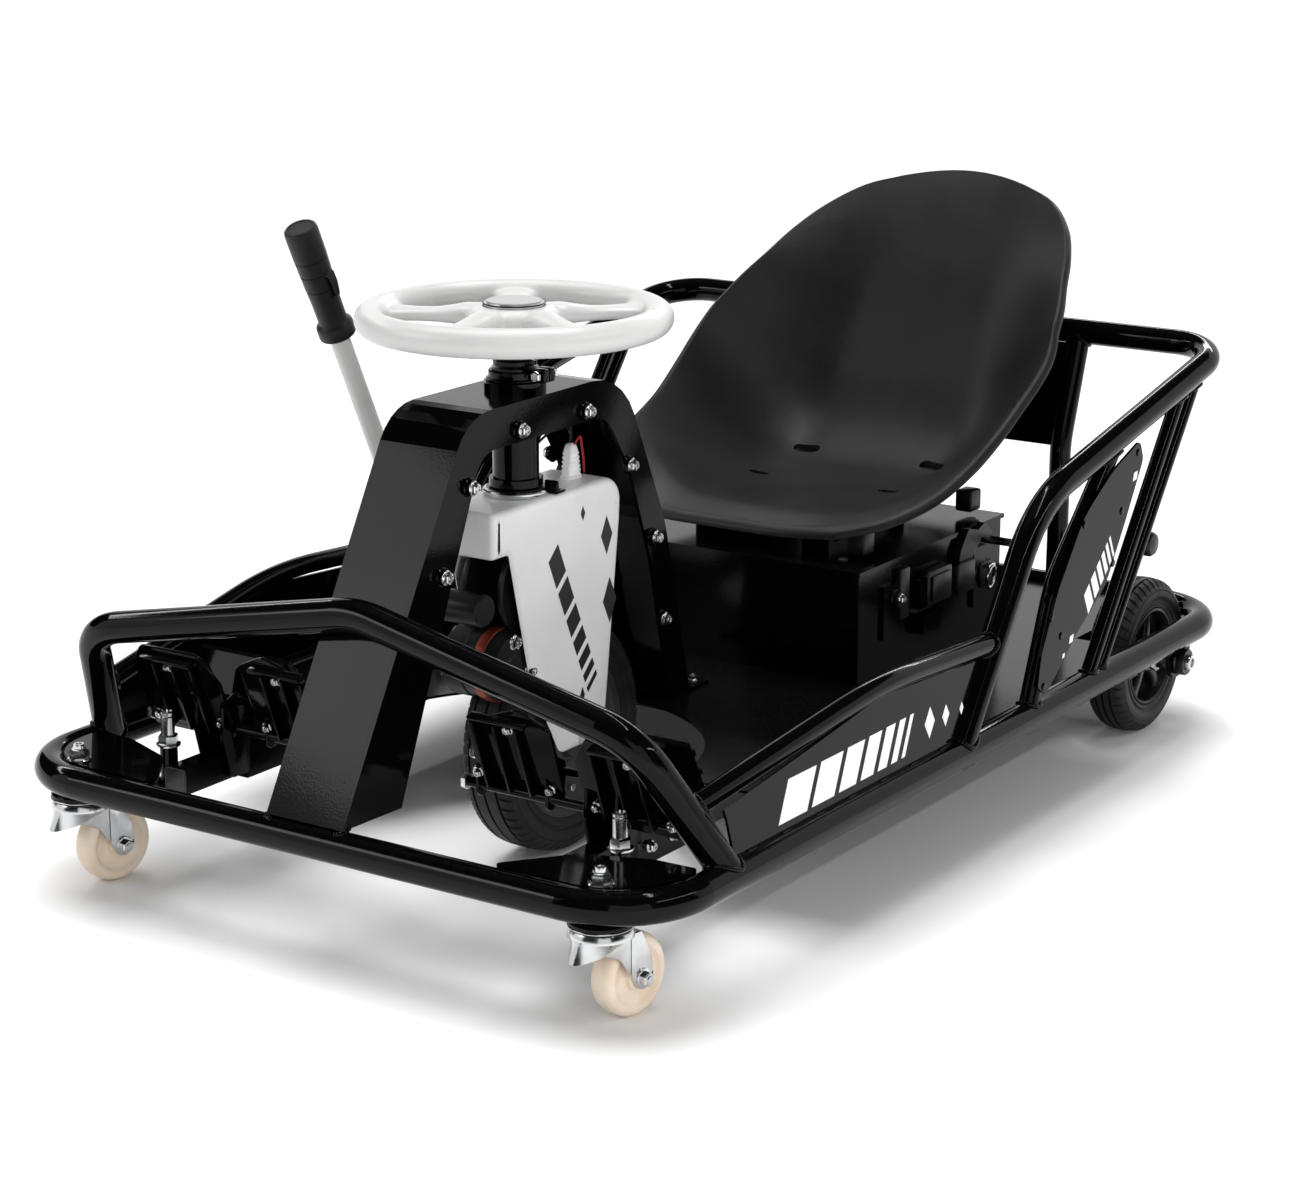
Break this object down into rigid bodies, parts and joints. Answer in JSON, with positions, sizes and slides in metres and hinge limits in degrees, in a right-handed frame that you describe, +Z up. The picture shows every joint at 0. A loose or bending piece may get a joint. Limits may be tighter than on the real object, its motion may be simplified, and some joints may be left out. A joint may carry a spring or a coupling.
{
  "type": "drift go-kart",
  "caption": "Low tube-frame drift go-kart with a steered drive wheel under a column, front swivel casters, fixed rear wheels and a bucket seat.",
  "frame": {"origin": "centre of the bounding box on the floor under the wheels", "axes": "+Z up, -Y forward, +X to the driver's left"},
  "size_m": [0.834, 1.3352, 0.6465],
  "materials": {
    "frame_black": "gloss powder coat",
    "sheet_black": "gloss powder coat on folded sheet",
    "floor_black": "semi-gloss powder coat",
    "box_black": "gloss powder coat",
    "seat_black": "fine leather-like grain",
    "moulded_white": "smooth gloss",
    "zinc": "bright zinc plate",
    "cap_silver": "brushed",
    "nylon_cream": "satin cast nylon",
    "tyre_black": "moulded rubber",
    "rim_black": "satin moulded rim",
    "motor_grey": "cast and machined",
    "lever_white": "gloss paint",
    "grip_black": "moulded grip"
  },
  "bodies": {
    "chassis": {"base_loop": "frame_black", "guard_hoop": "frame_black", "seat_guard": "frame_black", "struts": "frame_black", "side_tubes": "frame_black", "side_panels": "sheet_black", "leaf_panels": "sheet_black", "back_posts": "frame_black", "back_plate": "sheet_black", "floor_panel": "floor_black", "cross_members": "frame_black", "corner_plates": "sheet_black", "foot_rails": "frame_black", "foot_rests": "sheet_black", "column_shell": "sheet_black", "column_sides": "sheet_black", "steering_head": "frame_black", "battery_box": "box_black", "box_fittings": "box_black", "seat_runners": "frame_black", "seat": "seat_black", "axle_brackets": "sheet_black", "rear_axles": "zinc", "caster_heads": "zinc", "lever_clamp": "sheet_black"},
    "steering": {"stem": "frame_black", "steering_wheel": "moulded_white", "wheel_cap": "cap_silver", "fork": "moulded_white", "drive_axle": "zinc"},
    "drive_wheel": {"drive_tyre": "tyre_black", "drive_hub": "motor_grey"},
    "caster_left": {"caster_fork_left": "zinc"},
    "caster_right": {"caster_fork_right": "zinc"},
    "caster_wheel_l": {"caster_wheel_left": "nylon_cream"},
    "caster_wheel_r": {"caster_wheel_right": "nylon_cream"},
    "rear_wheel_l": {"rear_tyre_left": "tyre_black", "rear_rim_left": "rim_black"},
    "rear_wheel_r": {"rear_tyre_right": "tyre_black", "rear_rim_right": "rim_black"},
    "lever": {"lever_tube": "lever_white", "lever_grip": "grip_black"}
  },
  "joints": [
    {"name": "steer", "type": "hinge", "parent": "chassis", "child": "steering", "pos_m": [0, -0.3037, 0.45], "axis": [0, 0, 1], "range_deg": [-90, 90]},
    {"name": "drive_roll", "type": "hinge", "parent": "steering", "child": "drive_wheel", "pos_m": [0, -0.2447, 0.127], "axis": [1, 0, 0], "continuous": true},
    {"name": "caster_left_swivel", "type": "hinge", "parent": "chassis", "child": "caster_left", "pos_m": [0.326, -0.6217, 0.09], "axis": [0, 0, 1], "continuous": true},
    {"name": "caster_right_swivel", "type": "hinge", "parent": "chassis", "child": "caster_right", "pos_m": [-0.326, -0.6217, 0.09], "axis": [0, 0, 1], "continuous": true},
    {"name": "caster_left_roll", "type": "hinge", "parent": "caster_left", "child": "caster_wheel_l", "pos_m": [0.33163, -0.58614, 0.041], "axis": [0.9877, -0.1564, 0], "continuous": true},
    {"name": "caster_right_roll", "type": "hinge", "parent": "caster_right", "child": "caster_wheel_r", "pos_m": [-0.31975, -0.58625, 0.041], "axis": [0.9848, -0.1736, 0], "continuous": true},
    {"name": "rear_left_roll", "type": "hinge", "parent": "chassis", "child": "rear_wheel_l", "pos_m": [0.338, 0.4803, 0.093], "axis": [1, 0, 0], "continuous": true},
    {"name": "rear_right_roll", "type": "hinge", "parent": "chassis", "child": "rear_wheel_r", "pos_m": [-0.338, 0.4803, 0.093], "axis": [1, 0, 0], "continuous": true},
    {"name": "lever_pull", "type": "hinge", "parent": "chassis", "child": "lever", "pos_m": [-0.33, -0.0257, 0.176], "axis": [1, 0, 0], "range_deg": [-30, 0]}
  ]
}
